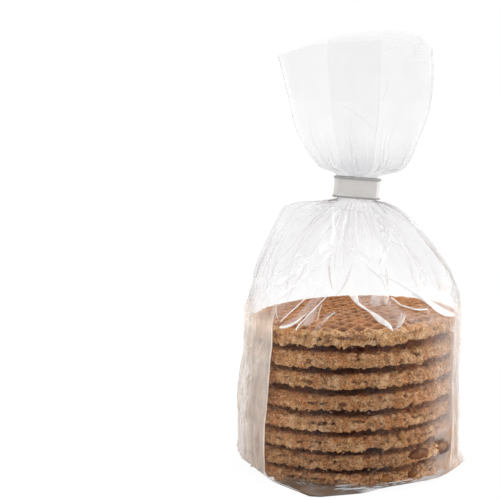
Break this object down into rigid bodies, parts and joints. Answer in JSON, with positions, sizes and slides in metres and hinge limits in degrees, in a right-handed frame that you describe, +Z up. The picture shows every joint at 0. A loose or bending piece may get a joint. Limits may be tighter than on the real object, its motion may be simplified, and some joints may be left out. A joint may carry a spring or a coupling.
{
  "type": "stroopwafels in a clear film bag",
  "caption": "Stack of round syrup waffles in a clear film gift bag that stands on its block bottom, gathered above the stack and closed with a flat clip band.",
  "frame": {"origin": "on the table, where the stack's axis meets the bag's flat underside", "axes": "+Z up along the stack, -Y towards the front of the clip band, +X to the right seen from the front"},
  "size_m": [0.1115, 0.113, 0.2074],
  "materials": {
    "filled_bag": "glossy clear film over golden-brown waffles",
    "film": "thin clear glossy film with soft creases",
    "waffle": "dry baked crumb, browned on the top and paler at the rim",
    "syrup": "sticky amber syrup",
    "band": "light grey satin plastic over two wires"
  },
  "bodies": {
    "root": {"bag": "filled_bag", "clip": "band"}
  },
  "joints": []
}
